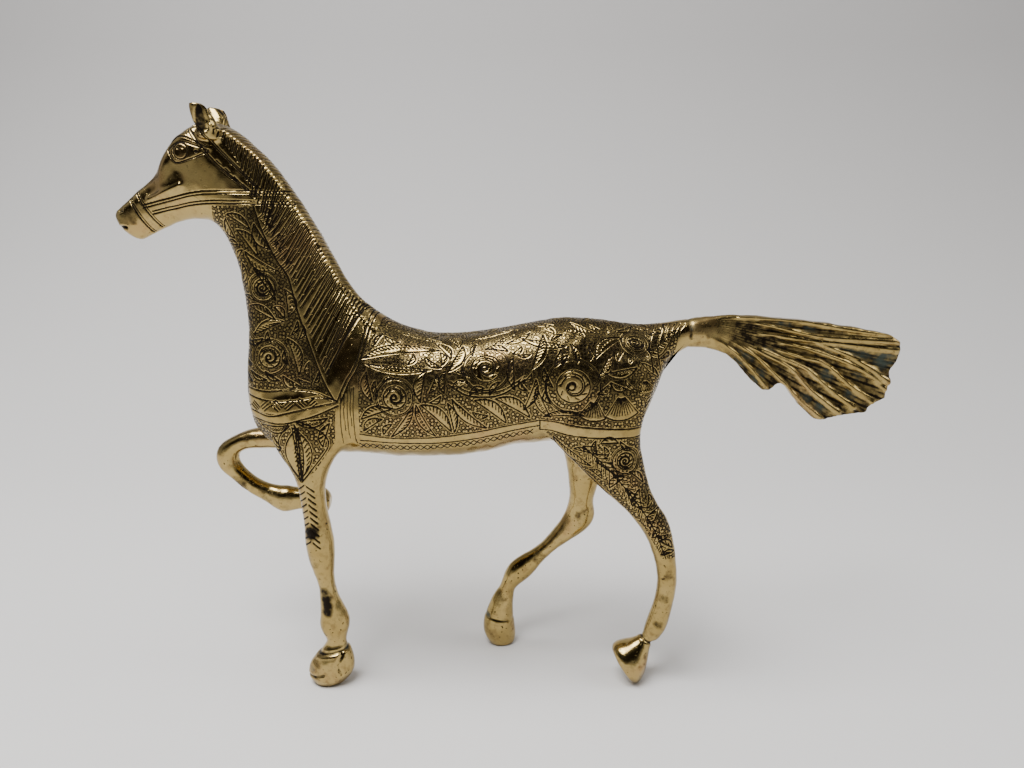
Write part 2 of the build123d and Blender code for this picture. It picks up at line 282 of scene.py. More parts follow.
def fill(polygon, target, value=True):
    """Even-odd fill of a polygon on the plate."""
    p = (np.asarray(polygon, float) - (PLATE_X[0], PLATE_V[0])) / CELL_MM
    low = np.maximum(np.floor(p.min(0)).astype(int), 0)
    high = np.minimum(np.ceil(p.max(0)).astype(int) + 1, (COLUMNS, ROWS))
    if (high <= low).any():
        return
    gx, gy = np.meshgrid(np.arange(low[0], high[0]) + 0.5, np.arange(low[1], high[1]) + 0.5)
    inside = np.zeros(gx.shape, bool)
    for (x1, y1), (x2, y2) in zip(p, np.roll(p, -1, 0)):
        if y1 != y2:
            crosses = (gy > min(y1, y2)) & (gy <= max(y1, y2))
            inside ^= crosses & (gx < x1 + (gy - y1) * (x2 - x1) / (y2 - y1))
    target[low[1]:high[1], low[0]:high[0]][inside] = value


def stamp():
    """Presses every collected stroke into the plate as a rounded groove."""
    flat = plate.ravel()
    for half, lines in strokes.items():
        samples = np.vstack(lines)
        column = (samples[:, 0] - PLATE_X[0]) / CELL_MM
        row = (samples[:, 1] - PLATE_V[0]) / CELL_MM
        reach = int(math.ceil(half / CELL_MM)) + 1
        base_column, base_row = np.round(column).astype(int), np.round(row).astype(int)
        for dr in range(-reach, reach + 1):
            for dc in range(-reach, reach + 1):
                distance = np.hypot(base_column + dc - column, base_row + dr - row) * CELL_MM
                value = samples[:, 2] * np.sqrt(np.clip(1 - distance / half, 0, 1))
                r, c = base_row + dr, base_column + dc
                good = (value > 0) & (r >= 0) & (r < ROWS) & (c >= 0) & (c < COLUMNS)
                np.maximum.at(flat, r[good] * COLUMNS + c[good], value[good].astype(np.float32))
    strokes.clear()


# ---------------------------------------------------------------- motifs


def band(upper, lower):
    """A plain strap between two cut lines."""
    cut(upper)
    cut(lower)
    fill(np.vstack([curve(upper, 0.5), curve(lower, 0.5)[::-1]]), plain)


def leaf(base, tip, bulge, hatch=1.25, lean=0.5, beads=False):
    """A leaf between two points as seen from the side; a positive bulge leans it left of base-to-tip."""
    plate_leaf(np.array(unroll_point(*base)), np.array(unroll_point(*tip)), bulge, hatch, lean, beads)


def plate_leaf(base, tip, bulge, hatch, lean, beads):
    along = tip - base
    length = float(np.hypot(*along))
    along = along / length
    across = np.array([-along[1], along[0]])
    sides = []
    for side in (bulge + abs(bulge) * 0.9, bulge - abs(bulge) * 0.9):
        control = base + along * length * 0.45 + across * side * 2
        t = np.linspace(0, 1, int(length / 0.06))[:, None]
        sides.append((1 - t) ** 2 * base + 2 * t * (1 - t) * control + t**2 * tip)
        cut(sides[-1], 0.26, 1.0, True)
    fill(np.vstack([sides[0][::8], sides[1][::-8]]), plain)
    count = int(length / hatch)
    for k in range(1, count):
        at = k / count
        first = sides[0][int(at * (len(sides[0]) - 1))]
        second = sides[1][int(at * (len(sides[1]) - 1))]
        if beads:
            middle = (first + second) / 2
            if np.hypot(*(first - second)) > 1.1:
                cut_circle(middle, 0.36, 0.17)
            continue
        start = first + (second - first) * 0.12
        end = first + (second - first) * lean + along * hatch * 0.9
        cut(np.linspace(start, end, 24), 0.21, 1.0, True)


def medallion(centre, radius, turns=1.4, ring=True):
    """A scroll inside a band of ring punches."""
    cx, cv = unroll_point(*centre)
    core = radius * (0.60 if ring else 0.92)
    angle = np.linspace(0, turns * 2 * math.pi, int(turns * core * 60))
    grow = angle / angle[-1]
    for offset, share in ((0.0, 0.92), (0.55, 0.78)):
        spiral = core * (0.14 + (share - 0.14) * grow)
        cut(around(cx, cv, spiral, angle + offset), 0.24, 1.0, True)
    cut_circle((cx - 0.1 * core, cv), 0.2 * core, 0.3)
    for k in range(9):
        a = 2 * math.pi * k / 9
        start = np.array([cx + 0.72 * core * math.cos(a), cv + 0.72 * core * math.sin(a)])
        end = np.array([cx + 0.92 * core * math.cos(a + 0.25), cv + 0.92 * core * math.sin(a + 0.25)])
        cut(np.linspace(start, end, 20), 0.18, 0.9, True)
    cut_circle((cx, cv), core + 0.2, 0.26)
    circle = np.linspace(0, 2 * math.pi, 60)
    fill(around(cx, cv, core + 0.3, circle), plain)
    if ring:
        cut_circle((cx, cv), radius, 0.24)
        cut_circle((cx, cv), radius + 0.55, 0.2, 0.8)


def hatch_group(centre, direction_deg, length=2.6, count=4, pitch=0.62):
    """A few short parallel strokes."""
    angle = math.radians(direction_deg)
    along = np.array([math.cos(angle), math.sin(angle)])
    across = np.array([-math.sin(angle), math.cos(angle)])
    for k in range(count):
        middle = np.array(centre) + across * pitch * (k - (count - 1) / 2)
        cut(np.linspace(middle - along * length / 2, middle + along * length / 2, 40), 0.22, 1.0, True)


def fan(centre, start_deg, end_deg, inner, outer, spokes):
    """A half-round petal: an arc, and spokes that stop short of the rim."""
    cx, cv = unroll_point(*centre)
    angle = np.radians(np.linspace(start_deg, end_deg, 80))
    rim = around(cx, cv, outer, angle)
    cut(rim, 0.26, 1.0, True)
    fill(np.vstack([rim[::4], [(cx, cv)]]), plain)
    for a in np.radians(np.linspace(start_deg, end_deg, spokes + 2)):
        far = outer if a in (math.radians(start_deg), math.radians(end_deg)) else outer * 0.82
        start = np.array([cx + inner * math.cos(a), cv + inner * math.sin(a)])
        end = np.array([cx + far * math.cos(a), cv + far * math.sin(a)])
        cut(np.linspace(start, end, 60), 0.19, 0.9, True)


def zigzag(points, amplitude, pitch):
    """A row of crosses along a line."""
    line = curve(points, 0.1)
    travelled = np.concatenate([[0], np.cumsum(np.hypot(*np.diff(line, axis=0).T))])
    for k in range(int(travelled[-1] / pitch)):
        for sign in (-1, 1):
            a = line[np.searchsorted(travelled, k * pitch)]
            b = line[min(np.searchsorted(travelled, (k + 0.85) * pitch), len(line) - 1)]
            cut(np.linspace(a + (0, sign * amplitude), b - (0, sign * amplitude), 30), 0.22, 1.0, True)


def engrave_barrel():
    band([(-51.5, 95.8), (-38, 94.2), (-24.4, 94.7), (-10.8, 96.7), (-0.7, 98.6), (9.2, 100.4)],
         [(-51.6, 93.3), (-38, 92.2), (-24.5, 92.2), (-10.9, 94), (2.7, 97), (9.4, 98.3)])
    zigzag([(-51.9, 91.1), (-38.3, 90.2), (-24.6, 90.6), (-10.9, 92.4), (2.7, 95), (9, 96.2)], 0.9, 2.3)
    band([(9.4, 100.5), (22.9, 98.8), (46, 97.3)], [(9.5, 96.6), (23, 95.2), (46, 94.3)])
    cut([(9.4, 100.5), (9.5, 96.6)])
    medallion((-39, 109), 6)
    medallion((-8.6, 118.5), 7.6)
    medallion((20.5, 112.5), 9)
    medallion((41.8, 127), 4.6, 2)
    # fans, leaves and arches round the first medallion
    leaf((-50.5, 101.5), (-40.5, 105), 1.5)
    leaf((-50, 97), (-43.5, 101.5), 1.3, beads=True)
    leaf((-33, 106.2), (-40.8, 95), 1.2)
    leaf((-32, 106.5), (-26, 95.2), -1.3, beads=True)
    leaf((-30.5, 106.5), (-20.5, 96.8), 1.9)
    leaf((-21.5, 107), (-19.5, 96.5), 1.2)
    leaf((-50.2, 121.5), (-24, 124.5), 1.9, 1.3)
    leaf((-49, 120), (-27, 118), -1.3, 1.3)
    leaf((-45, 129), (-24, 127.5), 1.6, 1.2, beads=True)
    leaf((-48.5, 117.5), (-46.5, 107.5), -1.5)
    leaf((-28.5, 117.5), (-30.5, 107.5), -1.7)
    # middle
    cut([(-21.2, 113.2), (-14, 109.5), (-4, 109.8), (4.3, 114.9)], 0.3)
    cut([(-20.8, 114.5), (-14, 110.9), (-4, 111.2), (4.3, 116)], 0.2)
    leaf((-20, 108.5), (-8.5, 98), -1.6)
    leaf((-12.5, 108), (-2, 99.5), 2)
    leaf((-5.5, 108.5), (6, 101.5), 1.9)
    leaf((-21.1, 117.5), (-16.5, 126), -1.6)
    leaf((0.5, 121.5), (1, 111.5), -1.3)
    leaf((-14, 127.5), (2, 129.5), 1.3, 1.2)
    leaf((8.3, 112.5), (13, 101.5), -1.4, beads=True)
    leaf((8, 115), (4, 104.5), 1.3)
    leaf((6.5, 118), (10.5, 127.5), -1.6)
    leaf((3.5, 127), (18, 124.5), -1.4)
    # haunch
    leaf((10.5, 101.8), (24, 102.6), 1, 1.2)
    fan((27.5, 109), -128, -62, 2, 8.2, 7)
    fan((36.5, 110.5), -122, -50, 2, 9.6, 9)
    fan((45, 116), -112, -48, 1, 6.5, 5)
    leaf((31, 117), (42, 119.5), -1.6)
    leaf((28, 121.5), (37, 127.5), 1.8)
    cut([(49.5, 133.5), (46.8, 127), (48, 119)], 0.3)
    cut([(52.5, 133), (49.6, 126.5), (50.8, 119.5)], 0.26)
    leaf((43.5, 121), (50, 117), 1.2)
    for x in (53.0, 54.6, 56.2, 57.8):
        cut([(x + 1.6, 131.5), (x, 129.5), (x - 0.6, 127.5)], 0.22)
    # over the back
    for x in (-36, -20, -4, 12, 28):
        leaf((x, 130.9), (x + 10, 130.2), 1.2, 1.3)


def engrave_chest():
    band([(-90, 110.8), (-83.4, 110.2), (-74.8, 110.8), (-66.5, 110.3), (-58.9, 107.7)],
         [(-90, 108.2), (-81.9, 107), (-71.7, 107.6), (-64.8, 108.7), (-58.9, 107.5)])
    band([(-90, 103), (-82.3, 101.8), (-75.4, 103.3), (-68.5, 104.9), (-58.9, 107)],
         [(-90, 100), (-79.1, 99.3), (-72.2, 100.7), (-65.2, 102.8), (-58.3, 106)])
    fill([(-95, 108), (-82, 107), (-65, 111), (-59, 107), (-68, 105), (-75, 103), (-95, 103)], plain)
    for k, x in enumerate((-91.5, -87.5, -83.4, -79.2, -75.0, -70.8, -66.8)):
        v = 105.0 + 0.10 * (x + 85)
        hatch_group((x, v), -42 if k % 2 else 40, 3 if x < -70 else 2, 3, 0.95)
    # palmette that hangs from the breast band
    leaf((-73.4, 99.6), (-71.9, 79.6), 1.01, 1.15, beads=True)
    leaf((-74.2, 98.4), (-72.6, 79.6), 3, 1.5, 0.35)
    leaf((-72, 98.4), (-71.4, 79.4), -2.8, 1.5, 0.35)
    leaf((-72.5, 100.2), (-62, 101.6), -1.3, 1.1, beads=True)
    leaf((-75, 99), (-86, 98), 1.4, 1.1, beads=True)
    cut([(-71.8, 100.6), (-64, 96.5), (-62.4, 91.5), (-67.8, 84), (-71.8, 79)], 0.26)
    cut([(-75.4, 99.6), (-79.5, 93), (-77.2, 86), (-72.2, 79)], 0.26)
    # herringbone down the forearm
    for k in range(10):
        z = 77.8 - 2.3 * k
        x = -70.9 + 0.06 * (77.8 - z)
        cut([(x - 3, z - 2.2), (x - 0.4, z)], 0.27)
        cut([(x + 0.5, z - 0.3), (x + 2.9, z - 2.4)], 0.27)
    # plain band behind the shoulder, with long striations
    fill([(-58.6, 107), (-56.5, 114), (-51.5, 114), (-51.5, 90), (-58.8, 90)], plain)
    striations = [(-57.6, 110, 92), (-56.3, 111, 97), (-55.2, 112.5, 94), (-54.1, 112, 99),
                  (-53.2, 112.5, 92)]
    for x, top, low in striations:
        cut([(x + 0.4, top), (x, (top + low) / 2), (x + 0.2, low)], 0.17, 0.8)
    # rosettes and vine up the neck
    medallion((-81.2, 121.7), 5.6)
    medallion((-82.8, 144.6), 4.3, 1.8)
    for place in ((-89.5, 119.5), (-90.0, 116.5), (-90.0, 113.7), (-88.0, 126.0), (-87.5, 129.0)):
        hatch_group(place, -38, 3, 3, 0.7)
    leaf((-76, 133.5), (-86.5, 129), -1.4)
    leaf((-75, 128), (-71.5, 116), 1.6)
    leaf((-88, 138.5), (-79, 134), 1.3)
    leaf((-78.5, 150.5), (-88, 156.5), 1.5)
    leaf((-85.5, 151), (-78.5, 140.5), 1, 1.2)
    leaf((-90.5, 163.5), (-84, 155), 1.5)
    leaf((-84.5, 165.5), (-79.5, 157), -1.5)
    leaf((-93.5, 168.5), (-86, 163.5), 1.2)
    for x, z in ((-80.5, 168), (-79.5, 164), (-77.5, 160), (-76.2, 156), (-74.8, 151.5)):
        hatch_group((x, z), 42, 4.2, 4, 0.8)
    cut([(-84.5, 171), (-82, 163), (-78, 154), (-74.3, 148), (-71.8, 138), (-67.9, 126),
         (-63.6, 115), (-59.5, 107.6)], 0.3)


MANE_RIDGE = [(-98.7, 197.6), (-92.6, 194), (-88, 190.6), (-83.4, 186.6), (-78.9, 181.4), (-74.5, 175),
              (-70, 168), (-65.5, 160.4), (-59.4, 148.2), (-53.2, 137.4), (-46.7, 130.9)]
MANE_FOOT = [(-91, 189), (-88.5, 184), (-86, 178), (-83, 171.5), (-80.5, 164.5), (-77, 157),
             (-73.5, 149), (-70.5, 139), (-66.5, 127), (-62, 116), (-58.6, 108.2)]


MANE_STROKE_STEP_MM = 1.3


def engrave_mane():
    """Long slanting strokes from the crest's rim down to the mane's foot."""
    ridge, foot = curve(MANE_RIDGE, 0.1), curve(MANE_FOOT, 0.1)
    mane = np.zeros_like(plain)
    fill(np.vstack([ridge[::10], foot[::-10]]), mane)
    plain[mane] = True
    step = int(MANE_STROKE_STEP_MM / 0.1)
    for start in ridge[::step]:
        slant = np.interp(start[1], [131, 150, 172, 180, 196], [66, 58, 56, 76, 80])
        slant = math.radians(slant + rng.uniform(-3, 3))
        along = np.array([-math.cos(slant), -math.sin(slant)])
        travelled = rng.uniform(0.2, 0.8)
        while travelled < 40:
            length = rng.uniform(4.0, 8.5)
            run = np.arange(0, length, 0.07)
            bend = 0.018 * (travelled + run)[:, None] ** 1.2 * np.array([[0.0, -1.0]])
            line = start + along * (travelled + run)[:, None] + bend
            row, column = plate_cells(line)
            line = line[mane[np.clip(row, 0, ROWS - 1), np.clip(column, 0, COLUMNS - 1)]]
            if len(line) < 8:
                travelled += 1.0
                continue
            cut(line, 0.28, rng.uniform(0.75, 1.0), True)
            travelled += length + rng.uniform(0.3, 0.9)
    for offset in (0.0, 1.3):
        strap = [(-46.6, 131.5), (-51.8, 121.4), (-55.8, 113.8), (-58.7, 107.0)]
        cut([(x + offset, z) for x, z in strap], 0.28)


def clear_of(marks, reach):
    """Grows marks by reach millimetres."""
    grown = marks.copy()
    steps = int(reach / CELL_MM)
    for axis in (0, 1):
        source = grown.copy()
        for k in range(1, steps + 1):
            grown |= np.roll(source, k, axis) | np.roll(source, -k, axis)
    return grown


def soften(values, passes):
    for _ in range(passes):
        for axis in (0, 1):
            values = (np.roll(values, 1, axis) + 2 * values + np.roll(values, -1, axis)) / 4
    return values


# a leaf's outline, as shares of its length along and across it
LEAF_OUTLINE = [(0, 0), (0.15, 0.16), (0.5, 0.28), (0.85, 0.16), (1, 0), (0.85, -0.16), (0.5, -0.28),
                (0.15, -0.16)]


def scatter_leaves(tries, shortest, longest):
    """Fills gaps in the engraved ground with small leaves."""
    free = ground & ~clear_of(plain, 0.7)
    rows, columns = np.nonzero(free)
    for _ in range(tries):
        pick = rng.integers(len(rows))
        base = np.array([PLATE_X[0] + columns[pick] * CELL_MM, PLATE_V[0] + rows[pick] * CELL_MM])
        length = rng.uniform(shortest, longest)
        angle = rng.uniform(0, 2 * math.pi)
        along = np.array([math.cos(angle), math.sin(angle)])
        across = np.array([-along[1], along[0]])
        bulge = rng.choice((-1, 1)) * length * rng.uniform(0.12, 0.2)
        outline = [base + along * length * t + across * w * length for t, w in LEAF_OUTLINE]
        row, column = plate_cells(np.array(outline))
        if (row < 0).any() or (row >= ROWS).any() or (column < 0).any() or (column >= COLUMNS).any():
            continue
        if not free[row, column].all():
            continue
        fill(outline, free, False)
        plate_leaf(base, base + along * length, bulge, 1.25, 0.55, rng.uniform() < 0.25)


def engrave_head():
    head = [(-133, 176), (-133, 160), (-98, 160), (-92, 172), (-84, 178), (-96, 204), (-112, 204)]
    fill(head, plain)
    for line in ([(-127.0, 173.9), (-120.3, 162.4)], [(-124.6, 176.0), (-117.2, 164.2)]):
        (x1, z1), (x2, z2) = line
        cut(line, 0.3)
        cut([(x1 + 0.75, z1 + 0.3), (x2 + 0.75, z2 + 0.3)], 0.2, 0.7)
    for drop in (0.0, -0.95):
        cut([(-121.6, 171.4 + drop), (-112.8, 173.4 + drop), (-99.6, 175.9 + drop), (-73.4, 175.6 + drop)],
            0.28 if drop == 0 else 0.2)
        cut([(-118.6, 169.4 + drop), (-111.5, 170.9 + drop), (-98.3, 172.9 + drop), (-71.8, 172.2 + drop)],
            0.2 if drop == 0 else 0.28)
    for shift in (0.0, 0.9):
        cut([(-102.4 + shift, 197.4), (-93.9 + shift, 187.7), (-83 + shift, 176.5)], 0.2 if shift else 0.28)
        cut([(-105 + shift, 195.4), (-96.6 + shift, 184.8), (-86.6 + shift, 176.3)], 0.28 if shift else 0.2)
    for k in range(5):
        hatch_group((-95 + 2.6 * k, 184.6 - 2.5 * k), -46, 1.8, 2, 0.7)
    # eye
    cut_circle((-106.9, 188.4), 2.5, 0.28)
    cut_circle((-107.6, 189.3), 0.15, 0.3)
    cut_circle((-105.9, 189.4), 0.1, 0.24)
    cut([(-111, 189), (-109.3, 190.5), (-106.4, 191.3), (-102.6, 190.3), (-97.8, 188.6)], 0.3)
    cut([(-111.2, 188.6), (-109.9, 186.2), (-108.2, 184.8), (-103.5, 186), (-97.8, 188.2)], 0.3)
    cut([(-110.6, 191.2), (-107.5, 193), (-103.4, 192), (-98.4, 189.6)], 0.26)
    cut_circle((-101.7, 188.3), 0.32, 0.36)
    # mouth and nostril
    cut([(-131, 163.8), (-129.2, 164.2), (-128, 164)], 0.3)
    cut([(-130.4, 168.8), (-129.7, 169.4), (-129, 169.2)], 0.28, 0.7)
    for k in range(5):
        cut([(-106 + 1.1 * k, 194.6 + 0.2 * k), (-104.4 + 1.1 * k, 193.2 + 0.2 * k)], 0.16, 0.7)


def engrave_thigh():
    medallion((38.6, 86.5), 4.4, 1.8)
    spine = curve([(24.0, 92.0), (32.0, 84.5), (41.0, 74.0), (49.0, 62.0), (54.2, 50.0)], 0.1)
    count = 24
    for k in range(count):
        at = spine[int(k / count * (len(spine) - 12))]
        ahead = spine[int(k / count * (len(spine) - 12)) + 10]
        along = (ahead - at) / np.hypot(*(ahead - at))
        across = np.array([-along[1], along[0]])
        size = 3.6 - 2.0 * k / count
        for side in (-1, 1):
            tip = at + along * size * 0.9 + across * side * size * 0.75
            cut(np.linspace(at, tip, 50), 0.22, 1, True)
    cut(spine, 0.26, 1, True)
    leaf((14, 94), (27, 84.5), -1.4)
    leaf((30, 93), (36, 93), 1.2)
    cut([(13.5, 92.8), (22, 84.6), (33, 73.6), (41, 65.4), (47.2, 56)], 0.26)


# outlines of the ring-punched ground
BARREL_GROUND = [(-52, 95.5), (-38, 94.2), (-24, 94.6), (-10, 96.6), (9, 100.4), (46, 97.4), (48, 104),
                 (53, 112), (56, 120), (57, 127), (58, 150), (-42, 150), (-46, 131), (-52, 122), (-51.5, 112)]
CHEST_GROUND = [(-99, 165), (-95.5, 157), (-93, 145), (-92.5, 131), (-95, 118), (-96, 106), (-93, 96),
                (-82, 87), (-73, 79), (-67, 83), (-60, 93), (-59, 106), (-64, 115), (-68, 127), (-72, 141),
                (-75, 150), (-80, 160), (-84, 171), (-99, 171.5)]
THIGH_GROUND = [(11, 96), (45, 94), (45, 87), (49, 75), (56, 60), (58, 50), (53, 50), (46, 62), (32, 76),
                (18, 89)]

for outline in (BARREL_GROUND, CHEST_GROUND, THIGH_GROUND):
    fill(outline, ground)
engrave_head()
fill([(-99.5, 164), (-96, 164), (-84, 168), (-84, 171.5), (-98.5, 171.5)], plain, False)
engrave_mane()
engrave_chest()
engrave_barrel()
engrave_thigh()
scatter_leaves(900, 6.5, 11.0)
scatter_leaves(1500, 4.0, 6.5)
stamp()
ringed = ground & ~clear_of(plain, 0.25) & ~clear_of(plate > 0.4, 0.3)
ringed = soften(ringed.astype(np.float32), 3)


def plate_value(values, x, v):
    """Bilinear reading of one of the plate's layers."""
    c = np.clip((x - PLATE_X[0]) / CELL_MM, 0, COLUMNS - 1.001)
    r = np.clip((v - PLATE_V[0]) / CELL_MM, 0, ROWS - 1.001)
    c0, r0 = c.astype(int), r.astype(int)
    fc, fr = c - c0, r - r0
    value = values[r0, c0] * (1 - fc) * (1 - fr) + values[r0, c0 + 1] * fc * (1 - fr)
    value += values[r0 + 1, c0] * (1 - fc) * fr + values[r0 + 1, c0 + 1] * fc * fr
    inside = (x > PLATE_X[0]) & (x < PLATE_X[1] - 1) & (v > PLATE_V[0]) & (v < PLATE_V[1] - 1)
    return value * inside


# ---------------------------------------------------------------- carving

CHEEK_CREST = [(-119.4, 173.2), (-113.5, 175.4), (-108, 177.6)]
CHEEK_HOLLOW = [(-119, 176.5), (-114, 179.2), (-109.5, 182.5)]
TAIL_RIDGES = [
    [(61.3, 131.9), (71.6, 133.7), (85.4, 133.3), (99.2, 132.3), (116.8, 129.1), (133.3, 126.7)],
    [(78.5, 132.6), (92.5, 129.8), (106.6, 126.7), (120.6, 125.6), (134.2, 124.9)],
    [(85.1, 128.1), (99.8, 125.6), (113.8, 124.2), (133.9, 121.4)],
    [(80.6, 128.1), (96.2, 126.7), (106.8, 124.2), (121.4, 117.8), (132.7, 110)],
    [(87.7, 125.3), (100, 123.2), (114.3, 118.6), (124.6, 113.6), (131.5, 108.1)],
    [(86.8, 123.9), (100.3, 119.6), (109.2, 117.1), (118.7, 109.2), (127.4, 103.4)],
    [(79.7, 125.3), (93.3, 119.6), (102.8, 115.3), (111.1, 108.5), (120.6, 101.2)],
    [(77.2, 126), (87, 121), (97.1, 115.7), (104.8, 107.8), (115.5, 99.4)],
    [(74.8, 126), (84.6, 120), (93.6, 111.8), (100.9, 104.5), (109.3, 97.5)],
    [(65, 127.7), (72.8, 124.2), (81.3, 117.8), (89.3, 108.9)],
]


# where the legs run into the body: centre and radius
CROTCHES = [((-70, -12, 98), 20), ((-74, 12, 92), 17), ((-72, -12, 108), 17),
            ((-72, 12, 106), 17), ((28, -10, 104), 26), ((26, 10, 104), 26)]


def blend_joints(points, quads):
    """Softens the crotches where the legs run into the body."""
    weight = np.zeros(len(points))
    for centre, radius in CROTCHES:
        distance = np.linalg.norm(points - centre, axis=1)
        weight = np.maximum(weight, 1 - smoothstep(0.55 * radius, radius, distance))
    return relax(points, quads, 0.6 * weight, 50)


def carve_ears(points, normals):
    """Hollows each ear from the front, between a leading and a trailing rim."""
    x, y, z = points.T
    middle = -101.6 + (z - 193) * 0.06
    side = np.sign(y)
    half = np.interp(z, [193.5, 196.5, 201.0, 203.2], [1.2, 2.0, 1.5, 0.3])
    across = (x - middle - 1.6) * 0.8 + (np.abs(y) - np.interp(z, [192.5, 203.4], [5.6, 8.6])) * -0.45
    facing = -normals[:, 0] * 0.7 + normals[:, 1] * side * 0.7
    share = np.clip(1 - (across / half) ** 2, 0, 1) * smoothstep(0.0, 0.45, facing)
    share *= smoothstep(193.4, 195.5, z) * (1 - smoothstep(202.2, 203.2, z)) * (np.abs(y) > 3)
    points = points.copy()
    points[:, 0] += 1.9 * share
    points[:, 1] -= side * 1.1 * share
    return points, share


def fold_tail(points):
    """Deepens the fan between its ridges. Returns the points and how deep in a fold each one lies."""
    x, y, z = points.T
    share = smoothstep(64.0, 84.0, x)
    height = np.zeros(len(points))
    for number, ridge in enumerate(TAIL_RIDGES):
        distance, run = path_distance(x, z, ridge)
        wide = 0.85 + 0.75 * smoothstep(5, 60, run)
        rise = 1.0 if number in (0, len(TAIL_RIDGES) - 1) else smoothstep(0.0, 10.0, run)
        height = np.maximum(height, bell(distance, wide) * rise * (1.0 if number % 3 else 0.9))
    profile = 0.44 + 0.60 * height
    points = points.copy()
    points[:, 1] = y * (1 + share * (profile - 1))
    return points, share * (1 - height)


cast = joined_castings()
apply_modifier(cast, "REMESH", mode="VOXEL", voxel_size=VOXEL_MM / 1000)
vertices, loops = mesh_arrays(cast.data)
vertices, faces = outer_component(vertices, loops.reshape(-1, 4))
bpy.data.objects.remove(cast)
skin = relax(to_drawing(vertices), faces, np.full(len(vertices), 0.5), 4)
skin = blend_joints(skin, faces)
skin, _ = carve_ears(skin, vertex_normals(skin, faces))
skin, _ = fold_tail(skin)

coarse = new_object("coarse", quad_mesh("coarse", skin, faces))
apply_modifier(coarse, "SUBSURF", levels=1, render_levels=1, subdivision_type="CATMULL_CLARK")
vertices, loops = mesh_arrays(coarse.data)
bpy.data.objects.remove(coarse)
skin, faces = to_drawing(vertices), loops.reshape(-1, 4)
normals = vertex_normals(skin, faces)
x, y, z = skin.T
nx, ny, nz = normals.T
outward = np.abs(ny) * (ny * y > 0)

# ---------------------------------------------------------------- fine relief
# relief is how far each point moves outwards, in millimetres; stain is how dark its patina is, and it also
# holds painted reflection: dark patches on the legs.

GROOVE_DEPTH_MM = 0.26
GROUND_DEPTH_MM = 0.07
relief = np.zeros(len(skin))
stain_and_painted_reflection = np.zeros(len(skin))
verdigris = np.zeros(len(skin))


def crease(path, width, depth, mask, dark=1.0):
    """A carved line with a softly raised lip on both sides."""
    distance, _ = path_distance(x, z, path)
    relief[:] += mask * (-depth * bell(distance, width) + 0.25 * depth * bell(distance - 1.9 * width, width))
    stain_and_painted_reflection[:] = np.maximum(stain_and_painted_reflection, dark * mask * bell(distance, width * 0.9))


def ring_crease(low, high, centre_y, reach, width, depth, dark=0.9):
    """A crease round a limb, in a plane that passes through two points of its outline."""
    (x1, z1), (x2, z2) = low, high
    length = math.hypot(x2 - x1, z2 - z1)
    across = ((x - x1) * (z2 - z1) - (z - z1) * (x2 - x1)) / length
    along = ((x - x1) * (x2 - x1) + (z - z1) * (z2 - z1)) / length
    near = (along > -3) & (along < length + 3) & (np.abs(y - centre_y) < reach)
    relief[:] += near * (-depth * bell(across, width) + 0.3 * depth * bell(across - 1.8 * width, width))
    stain_and_painted_reflection[:] = np.maximum(stain_and_painted_reflection, dark * near * bell(across, width))


head = smoothstep(0.15, 0.5, outward) * (x < -70)
cheek, _ = path_distance(x, z, CHEEK_CREST)
hollow, _ = path_distance(x, z, CHEEK_HOLLOW)
relief += head * (0.75 * bell(cheek, 1.1) - 0.75 * bell(hollow, 3.0))
eye = np.hypot(x + 106.9, z - 188.3)
relief += head * 0.06 * bell(eye, 3.0)
brow, _ = path_distance(x, z, [(-110.6, 192.0), (-106.4, 193.4), (-102.0, 191.6), (-97.8, 189.2)])
relief += head * 0.3 * bell(brow, 0.9)
crease([(-132.0, 163.6), (-129.8, 164.1), (-128.4, 164.0)], 0.5, 0.5, head)
crease([(-130.6, 169.4), (-129.8, 169.8)], 0.6, 0.4, head, 0.5)

# mane: a beaded rim on both sides of the crest, and slanting cuts across the flat strip between them
rim, rim_run = path_distance(x, z, MANE_RIDGE)
on_rim = (np.abs(y) > 2.2) * (x < -44)
relief += on_rim * bell(rim, 0.65) * (0.46 + 0.24 * np.sin(rim_run * 2 * math.pi / 1.3))
crest = smoothstep(0.45, 0.8, (nz * 0.5 + nx * 0.85)) * (x > -99) * (x < -46) * (z > 132) * (rim < 6)
cuts = bell((((rim_run + 0.35 * np.abs(y)) / 1.6) % 1.0) - 0.5, 0.16)
relief -= 0.2 * crest * cuts
stain_and_painted_reflection = np.maximum(stain_and_painted_reflection, 0.7 * crest * cuts)

# hooves and pasterns
near_side = (y < -8) * 1.0
crease([(-76.0, 4.0), (-72.0, 4.3), (-68.0, 5.6)], 0.5, 0.35, near_side, 0.6)
crease([(-61.6, 13.0), (-62.6, 9.4), (-61.8, 5.6)], 0.6, 0.4, near_side, 0.35)
relief -= 0.25 * near_side * bell(np.hypot(x + 70.6, (z - 9.5) * 1.2), 2.6)
ring_crease((-71.0, 12.4), (-57.6, 14.8), -13.0, 9, 0.6, 0.45, 0.6)
ring_crease((47.0, 18.2), (52.4, 14.4), -12.0, 7, 0.5, 0.35, 0.55)
ring_crease((-11.5, 13.0), (2.0, 11.0), 13.4, 8, 0.7, 0.15, 0.2)
ring_crease((-73.4, 53.5), (-73.2, 67.5), 12.0, 7, 0.6, 0.4, 0.7)

